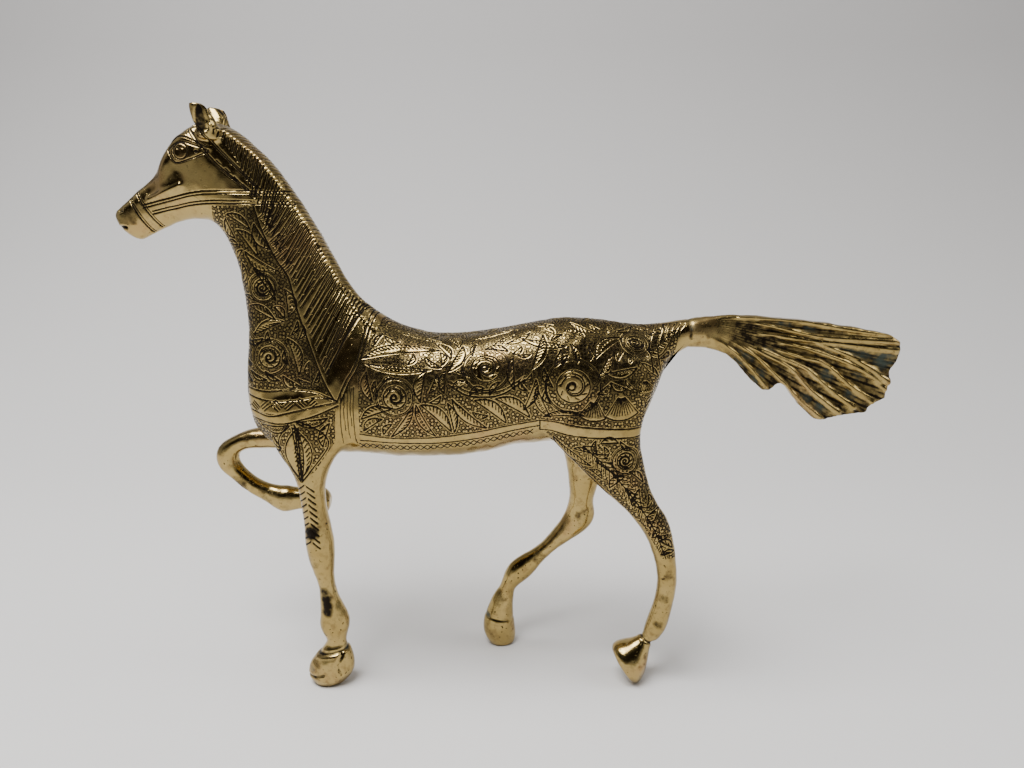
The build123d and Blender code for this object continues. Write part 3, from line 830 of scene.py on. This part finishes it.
# the dock's end, where the tail is brazed on
on_dock = (np.abs(y) < 6) & (z > 118)
relief -= on_dock * 0.15 * bell(x - 61.4, 0.7)
stain_and_painted_reflection = np.maximum(stain_and_painted_reflection, on_dock * 0.5 * bell(x - 61.6, 0.9) * (z > 126))
_, fold = fold_tail(skin)
_, hollow_share = carve_ears(skin, normals)
stain_and_painted_reflection = np.maximum(stain_and_painted_reflection, 0.62 * smoothstep(0.1, 0.8, hollow_share))
spread = np.degrees(np.arctan2(z - 134, x - 58))
streak = (0.5 + 0.5 * np.sin(spread * 3.1 + 0.06 * x)) * (0.5 + 0.5 * np.sin(spread * 5.3 - 0.05 * x))
stain_and_painted_reflection = np.maximum(stain_and_painted_reflection, smoothstep(0.1, 0.9, fold) * (0.48 + 0.34 * streak))
dock = smoothstep(61.5, 64.0, x) * (1 - smoothstep(74.0, 84.0, x)) * bell(z - 129.6 + 0.10 * (x - 61), 2.0)
stain_and_painted_reflection = np.maximum(stain_and_painted_reflection, 0.62 * dock * (0.55 + 0.45 * streak))
relief -= 0.16 * smoothstep(0.05, 0.5, fold) * streak

# engraving, read from the plate; each leg's pattern is on the near side only
u, v = x, plate_coordinates(skin)[1]
share = np.maximum(barrel_share(x) * (z > 96), smoothstep(0.22, 0.42, outward))
share *= 1 - (y > 0) * ((z < 80) | ((x > 10) & (z < 92)))
share *= (ny * y > -0.02) * (x < 62)
pattern = plate_value(plate, u, v) * share
ground_share = plate_value(ringed, u, v) * share
relief -= GROOVE_DEPTH_MM * pattern + GROUND_DEPTH_MM * ground_share
stain_and_painted_reflection = np.maximum(stain_and_painted_reflection, smoothstep(0.12, 0.6, pattern))

# tarnish left by handling, and painted reflection: dark patches on the legs that stand for dark surroundings
# mirrored in them. Each is (x, y, z), radius, strength
SMUDGES_AND_PAINTED_REFLECTIONS = [
    ((-69.6, -16.5, 60.2), 3.4, 0.8), ((-66.8, -16.5, 37), 2.6, 0.66), ((-66.4, -16.5, 34.5), 2.7, 0.7),
    ((-66, -16.5, 32), 2.7, 0.7), ((-66, -16.5, 29.5), 2.6, 0.66),
    ((-68.6, -16, 48), 3, 0.2), ((54.5, -15, 34), 2.4, 0.4), ((52.6, -15, 24), 2.6, 0.45),
    ((47, -14, 11), 3.4, 0.35), ((-108, 9, 84), 4, 0.35), ((-103, 9, 68), 5, 0.45),
    ((55.5, -15, 43), 3, 0.30), ((10, 10, 38), 3.6, 0.35), ((26.5, 9, 56), 4, 0.3),
    ((-126, -4, 167.5), 4, 0.32), ((-70, -16, 5), 5, 0.25),
    ((-5, 9, 20), 4, 0.35), ((-92, 9, 64), 5, 0.3), ((44, -15, 8), 4, 0.2),
]
smudge_and_painted_reflection = np.zeros(len(skin))
for centre, radius, strength in SMUDGES_AND_PAINTED_REFLECTIONS:
    gap = np.linalg.norm(skin - centre, axis=1)
    smudge_and_painted_reflection = np.maximum(smudge_and_painted_reflection, strength * (1 - smoothstep(0.3 * radius, 1.3 * radius, gap)))
# the smudges darken the patina; on the legs this darkening is painted reflection
stain_and_painted_reflection = np.clip(stain_and_painted_reflection + smudge_and_painted_reflection * (stain_and_painted_reflection < 0.4), 0, 1)

# verdigris: (x, y, z), radius, strength
VERDIGRIS = [
    ((62.2, -4, 130.2), 1.3, 0.6), ((63.4, -4, 128.2), 1, 0.5), ((121, -2, 121.5), 6, 0.9),
    ((112, -2, 122.4), 3.4, 0.7), ((130, -2, 119), 4.4, 1), ((94, -2, 131.2), 3, 0.8),
    ((103, -2, 128.4), 3, 0.7), ((81, -2, 119.4), 3.8, 0.9), ((86.5, -2, 112.6), 3, 1),
    ((89, -2, 121.2), 2.6, 0.6), ((103, -2, 104), 3.4, 0.8), ((110.5, -2, 113), 3.4, 0.8),
    ((109, -2, 101.4), 3, 0.9), ((119.5, -2, 106), 3, 0.7), ((122, -2, 113), 2.6, 0.6),
    ((-59.7, -16, 15.3), 1.7, 1), ((-72.6, -16, 7.2), 1.5, 0.9), ((-9.8, 9.6, 13.4), 1.8, 1),
    ((-97.4, 0, 199), 2.4, 0.9), ((-94, 2, 197.4), 2, 0.7), ((-60.6, -9, 14.6), 1.6, 0.8),
]
for centre, radius, strength in VERDIGRIS:
    gap = skin - centre
    away = np.sqrt(gap[:, 0] ** 2 + (0.45 * gap[:, 1]) ** 2 + gap[:, 2] ** 2)
    verdigris = np.maximum(verdigris, strength * (1 - smoothstep(0.35 * radius, 1.25 * radius, away)))
verdigris *= np.where(x > 64, smoothstep(0.25, 0.75, fold), 1.0)

# hand filing leaves the skin very slightly uneven, so that reflections break up
for wavelength, amount in ((11.0, 0.05), (6.5, 0.04), (3.6, 0.022)):
    for _ in range(6):
        direction = rng.normal(size=3)
        direction *= 2 * math.pi / wavelength / np.linalg.norm(direction)
        relief += amount * 0.5 * np.sin(skin @ direction + rng.uniform(0, 6.28))

skin = skin + normals * relief[:, None]
skin[:, 2] = np.maximum(skin[:, 2], 0.0)
normals = vertex_normals(skin, faces)

# ---------------------------------------------------------------- pieces

TAIL_JOINT_X = 61.0
FORE_JOINT_Z, HIND_JOINT_Z, CROTCH_Z = 79.5, 86.0, 70.0
RAISED_JOINT_X, RAISED_JOINT_TOP, RAISED_CLEAR_Z = -90.5, 90.8, 78.0
BELLY_X, GROIN_X = -50.0, 8.0

PIECES = {
    "near_half": (["body_near_half", "midline_braze"], "engraved_body"),
    "far_half": (["body_far_half"], "engraved_body"),
    "near_foreleg": (["near_fore_leg", "near_fore_braze"], "leg"),
    "raised_foreleg": (["far_fore_leg", "far_fore_braze"], "leg"),
    "near_hindleg": (["near_hind_leg", "near_hind_braze"], "leg"),
    "far_hindleg": (["far_hind_leg", "far_hind_braze"], "leg"),
    "fan_tail": (["tail", "tail_braze"], "tail"),
}


def owner_of(points):
    """The index in PIECES of the casting that each point belongs to."""
    px, py, pz = points.T
    owner = (py > 0).astype(int)
    forearm = (px < RAISED_JOINT_X) & (pz < RAISED_JOINT_TOP)
    raised = (py > 0) & (forearm | ((px < BELLY_X) & (pz < RAISED_CLEAR_Z)))
    hind = ((px > GROIN_X) & (pz < HIND_JOINT_Z)) | ((px > BELLY_X) & (pz < CROTCH_Z))
    owner[(py <= 0) & (px < BELLY_X) & (pz < FORE_JOINT_Z)] = 2
    owner[raised] = 3
    owner[(py <= 0) & hind] = 4
    owner[(py > 0) & hind] = 5
    owner[px > TAIL_JOINT_X] = 6
    return owner


def close_ends(mesh):
    """Fills each open end of a piece with one face, where it meets its neighbour."""
    work = bmesh.new()
    work.from_mesh(mesh)
    open_edges = [edge for edge in work.edges if edge.is_boundary]
    bmesh.ops.holes_fill(work, edges=open_edges, sides=0)
    work.to_mesh(mesh)
    work.free()


def cut_piece(name, index, owner):
    """One closed piece of the skin, with what its material reads."""
    own_faces = faces[owner == index]
    used, local = np.unique(own_faces.ravel(), return_inverse=True)
    mesh = quad_mesh(name, skin[used], local.reshape(-1, 4))
    # the patina layer also carries painted reflection: dark patches on the legs
    for label, values in (("patina_and_painted_reflection", stain_and_painted_reflection), ("verdigris", verdigris), ("ground", ground_share)):
        layer = mesh.attributes.new(label, "FLOAT", "POINT")
        layer.data.foreach_set("value", values[used].astype(np.float32))
    layer = mesh.attributes.new("plate", "FLOAT_VECTOR", "POINT")
    layer.data.foreach_set("vector", np.column_stack([u, v, 0 * u])[used].astype(np.float32).ravel())
    close_ends(mesh)
    mesh.polygons.foreach_set("use_smooth", np.ones(len(mesh.polygons), bool))
    mesh.normals_split_custom_set_from_vertices(normals[used])
    return new_object(name, mesh)


owner = owner_of(skin[faces].mean(axis=1))
statue = []
for index, (name, (nodes, slot)) in enumerate(PIECES.items()):
    piece = cut_piece(name, index, owner)
    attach(piece, "root")
    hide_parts(*nodes)
    statue.append((piece, slot))

# ---------------------------------------------------------------- brass


def add_node(tree, kind, **settings):
    node = tree.nodes.new(kind)
    for key, value in settings.items():
        setattr(node, key, value)
    return node


def attribute(tree, name, output="Fac"):
    """A value that the pieces carry on their points."""
    return add_node(tree, "ShaderNodeAttribute", attribute_name=name).outputs[output]


def noise(tree, position, scale, detail=4.0, roughness=0.5):
    node = add_node(tree, "ShaderNodeTexNoise")
    node.inputs["Scale"].default_value = scale
    node.inputs["Detail"].default_value = detail
    node.inputs["Roughness"].default_value = roughness
    tree.links.new(position, node.inputs["Vector"])
    return node.outputs["Fac"]


def remap(tree, value, low, high, to_low=0.0, to_high=1.0):
    node = add_node(tree, "ShaderNodeMapRange")
    for label, number in (("From Min", low), ("From Max", high), ("To Min", to_low), ("To Max", to_high)):
        node.inputs[label].default_value = number
    tree.links.new(value, node.inputs["Value"])
    return node.outputs["Result"]


def arithmetic(tree, operation, a, b, clamp=False):
    node = add_node(tree, "ShaderNodeMath", operation=operation, use_clamp=clamp)
    for socket, value in zip(node.inputs, (a, b)):
        if isinstance(value, (int, float)):
            socket.default_value = value
        else:
            tree.links.new(value, socket)
    return node.outputs[0]


def mix_colour(tree, share, a, b):
    node = add_node(tree, "ShaderNodeMix", data_type="RGBA")
    sockets = [s for s in node.inputs if s.type == "RGBA"]
    for socket, value in zip(sockets, (a, b)):
        if isinstance(value, tuple):
            socket.default_value = (*value, 1.0)
        else:
            tree.links.new(value, socket)
    tree.links.new(share, node.inputs["Factor"])
    return [s for s in node.outputs if s.type == "RGBA"][0]


RING_PITCH_MM = 1.42
BRASS = (0.355, 0.254, 0.086)
BRASS_PALE = (0.46, 0.345, 0.135)
BRASS_RED = (0.29, 0.13, 0.050)
TARNISH = (0.22, 0.145, 0.055)
BLACK = (0.016, 0.012, 0.008)
VERDIGRIS_COLOUR = (0.034, 0.052, 0.037)


def ring_punches(tree):
    """Small rings struck side by side all over the engraved ground: 1 in their cuts, 0 elsewhere."""
    plate_place = attribute(tree, "plate", "Vector")
    on_ground = attribute(tree, "ground")
    cells = add_node(tree, "ShaderNodeTexVoronoi", voronoi_dimensions="2D", feature="F1")
    cells.inputs["Scale"].default_value = 1 / RING_PITCH_MM
    cells.inputs["Randomness"].default_value = 0.62
    tree.links.new(plate_place, cells.inputs["Vector"])
    distance = cells.outputs["Distance"]
    inner = remap(tree, distance, 0.24, 0.31)
    outer = remap(tree, distance, 0.62, 0.48)
    ring = arithmetic(tree, "MULTIPLY", inner, remap(tree, outer, 0.0, 1.0, 0.55, 1.0))
    return arithmetic(tree, "MULTIPLY", ring, remap(tree, on_ground, 0.35, 0.65), True)


def brass(name, wear, red, pits, satin):
    """Polished brass: worn bright on top, black in the cuts, green in the deep corners, and darkened where
    reflections are painted on the legs.
    """
    material = bpy.data.materials.new(name)
    material.use_nodes = True
    tree = material.node_tree
    shader = tree.nodes["Principled BSDF"]
    place = add_node(tree, "ShaderNodeTexCoord").outputs["Object"]
    # patina here includes the dark patches painted on the legs as reflections
    patina_and_painted_reflection = attribute(tree, "patina_and_painted_reflection")
    green = attribute(tree, "verdigris")
    broad = noise(tree, place, 55.0, 3.0)
    mottle = noise(tree, place, 420.0, 5.0, 0.6)
    grain = noise(tree, place, 2600.0, 3.0, 0.6)
    speck = noise(tree, place, 900.0, 2.0)

    metal = mix_colour(tree, remap(tree, broad, 0.38, 0.66), BRASS, BRASS_PALE)
    metal = mix_colour(tree, remap(tree, mottle, 0.50, 0.72, 0.0, wear), metal, TARNISH)
    metal = mix_colour(tree, remap(tree, broad, 0.54, 0.68, 0.0, red), metal, BRASS_RED)
    rings = ring_punches(tree)
    rough_edge = arithmetic(tree, "ADD", patina_and_painted_reflection, remap(tree, mottle, 0.3, 0.7, -0.16, 0.16), True)
    dark = remap(tree, rough_edge, 0.18, 0.62)
    pit = remap(tree, speck, 0.66, 0.72, 0.0, pits)
    dark = arithmetic(tree, "MAXIMUM", dark, pit, True)
    dark = arithmetic(tree, "MAXIMUM", dark, rings, True)
    metal = mix_colour(tree, dark, metal, BLACK)
    crust = arithmetic(tree, "MULTIPLY", green, remap(tree, mottle, 0.26, 0.66), True)
    crust = remap(tree, crust, 0.05, 0.85, 0.0, 0.85)
    colour = mix_colour(tree, crust, metal, VERDIGRIS_COLOUR)
    tree.links.new(colour, shader.inputs["Base Color"])

    dull = arithmetic(tree, "MAXIMUM", dark, crust, True)
    tree.links.new(remap(tree, crust, 0.0, 1.0, 1.0, 0.15), shader.inputs["Metallic"])
    uneven = remap(tree, mottle, 0.3, 0.7, 0.06, 0.15)
    polish = arithmetic(tree, "ADD", uneven, remap(tree, broad, 0.3, 0.7, satin - 0.03, satin + 0.06))
    polish = arithmetic(tree, "ADD", polish, arithmetic(tree, "MULTIPLY", dull, 0.34), True)
    tree.links.new(polish, shader.inputs["Roughness"])

    scratch_place = add_node(tree, "ShaderNodeMapping")
    scratch_place.inputs["Scale"].default_value = (1.0, 1.0, 6.0)
    scratch_place.inputs["Rotation"].default_value = (0.0, 0.6, 0.2)
    tree.links.new(place, scratch_place.inputs["Vector"])
    scratch = noise(tree, scratch_place.outputs[0], 900.0, 3.0, 0.7)
    surface = arithmetic(tree, "MULTIPLY", grain, 0.25)
    surface = arithmetic(tree, "ADD", surface, arithmetic(tree, "MULTIPLY", scratch, 0.4))
    surface = arithmetic(tree, "SUBTRACT", surface, arithmetic(tree, "MULTIPLY", pit, 1.5))
    surface = arithmetic(tree, "SUBTRACT", surface, arithmetic(tree, "MULTIPLY", rings, 0.35))
    bump = add_node(tree, "ShaderNodeBump")
    bump.inputs["Strength"].default_value = 0.28
    bump.inputs["Distance"].default_value = 0.00012
    tree.links.new(surface, bump.inputs["Height"])
    tree.links.new(bump.outputs["Normal"], shader.inputs["Normal"])
    return material


# each finish: tarnish, redness, pits, and how satin the polish is
FINISHES = {
    "engraved_body": brass("brass_engraved", 0.55, 0.40, 0.4, 0.02),
    "leg": brass("brass_leg", 0.95, 0.35, 1.0, 0.05),
    "tail": brass("brass_tail", 0.9, 0.30, 0.5, 0.11),
}
for piece, slot in statue:
    piece.data.materials.clear()
    piece.data.materials.append(FINISHES[slot])

# ---------------------------------------------------------------- camera, floor and light

CAMERA_MM = np.array([0.0, -275.0, 176.0])
PITCH_DEG = 13.6
FOCAL_PX = 800.0
SENSOR_MM = 36.0
IMAGE_WIDTH_PX = 1024.0


def add_camera():
    data = bpy.data.cameras.new("camera")
    data.sensor_width = SENSOR_MM
    data.lens = FOCAL_PX * SENSOR_MM / IMAGE_WIDTH_PX
    data.clip_start = 0.01
    camera = new_object("camera", data)
    camera.location = Vector(to_frame(CAMERA_MM))
    camera.rotation_euler = (math.radians(90 - PITCH_DEG), 0, 0)
    bpy.context.scene.camera = camera


SWEEP_FRONT_M, SWEEP_BACK_M, SWEEP_HALF_M = -1.2, 0.75, 2.0
SWEEP_RADIUS_M, SWEEP_TOP_M = 0.55, 1.8
CARD_LOW = (0.74, 0.725, 0.71)  # the card's colour on the floor
CARD_HIGH_PAINTED_SHADE = (0.55, 0.535, 0.525)  # and up its back, darker there: painted shade
CARD_SHADE_FADE_M = (0.02, 0.34)  # heights between which one turns into the other, painting the shade in
ROOM_PALE = (0.44, 0.44, 0.44)
ROOM_DARK = (0.012, 0.010, 0.009)


def add_sweep():
    """A sheet of pale card: flat under the horse, curving up behind it, with painted shade that darkens it up
    its back.
    """
    profile = [(SWEEP_FRONT_M, 0.0), (SWEEP_BACK_M - SWEEP_RADIUS_M, 0.0)]
    for k in range(1, 33):
        angle = math.pi / 2 * k / 32
        back = SWEEP_BACK_M - SWEEP_RADIUS_M * (1 - math.sin(angle))
        profile.append((back, SWEEP_RADIUS_M * (1 - math.cos(angle))))
    profile.append((SWEEP_BACK_M, SWEEP_TOP_M))
    points = [(side * SWEEP_HALF_M, py, pz) for py, pz in profile for side in (-1, 1)]
    quads = [(2 * k, 2 * k + 1, 2 * k + 3, 2 * k + 2) for k in range(len(profile) - 1)]
    mesh = bpy.data.meshes.new("sweep")
    mesh.from_pydata(points, [], quads)
    mesh.polygons.foreach_set("use_smooth", np.ones(len(quads), bool))
    sweep = new_object("sweep", mesh)
    card = bpy.data.materials.new("card")
    card.use_nodes = True
    shader = card.node_tree.nodes["Principled BSDF"]
    tree = card.node_tree
    split = add_node(tree, "ShaderNodeSeparateXYZ")
    tree.links.new(add_node(tree, "ShaderNodeTexCoord").outputs["Object"], split.inputs[0])
    # painted shade: the card's colour darkens with height
    colour = mix_colour(tree, remap(tree, split.outputs["Z"], *CARD_SHADE_FADE_M), CARD_LOW, CARD_HIGH_PAINTED_SHADE)
    tree.links.new(colour, shader.inputs["Base Color"])
    shader.inputs["Roughness"].default_value = 0.65
    mesh.materials.append(card)


def add_lamp(name, place, target, size, watts):
    """A soft rectangular lamp at place, facing target."""
    data = bpy.data.lights.new(name, "AREA")
    data.shape = "RECTANGLE"
    data.size, data.size_y = size
    data.energy = watts
    lamp = new_object(name, data)
    lamp.location = Vector(place)
    lamp.rotation_euler = (Vector(target) - Vector(place)).to_track_quat("-Z", "Y").to_euler()


def add_world():
    """A pale room with one dark wall, above the horizon on the near side of the horse."""
    world = bpy.data.worlds.new("room")
    bpy.context.scene.world = world
    world.use_nodes = True
    tree = world.node_tree
    direction = add_node(tree, "ShaderNodeTexCoord").outputs["Generated"]
    split = add_node(tree, "ShaderNodeSeparateXYZ")
    tree.links.new(direction, split.inputs[0])
    up = split.outputs["Z"]
    front = arithmetic(tree, "MULTIPLY", split.outputs["Y"], -1.0)
    dark = arithmetic(tree, "MULTIPLY", remap(tree, front, 0.04, 0.30), remap(tree, up, 0.96, 0.88))
    dark = arithmetic(tree, "MULTIPLY", dark, remap(tree, up, 0.10, 0.22))
    colour = mix_colour(tree, dark, ROOM_PALE, ROOM_DARK)
    background = tree.nodes["Background"]
    tree.links.new(colour, background.inputs["Color"])
    background.inputs["Strength"].default_value = 1.0


add_camera()
add_sweep()
add_lamp("key", (-0.30, -0.22, 0.95), (0, -0.05, 0.05), (0.7, 0.5), 17.0)
add_lamp("fill", (0.8, -0.1, 0.7), (0, 0, 0.08), (0.5, 0.5), 2.6)
add_world()
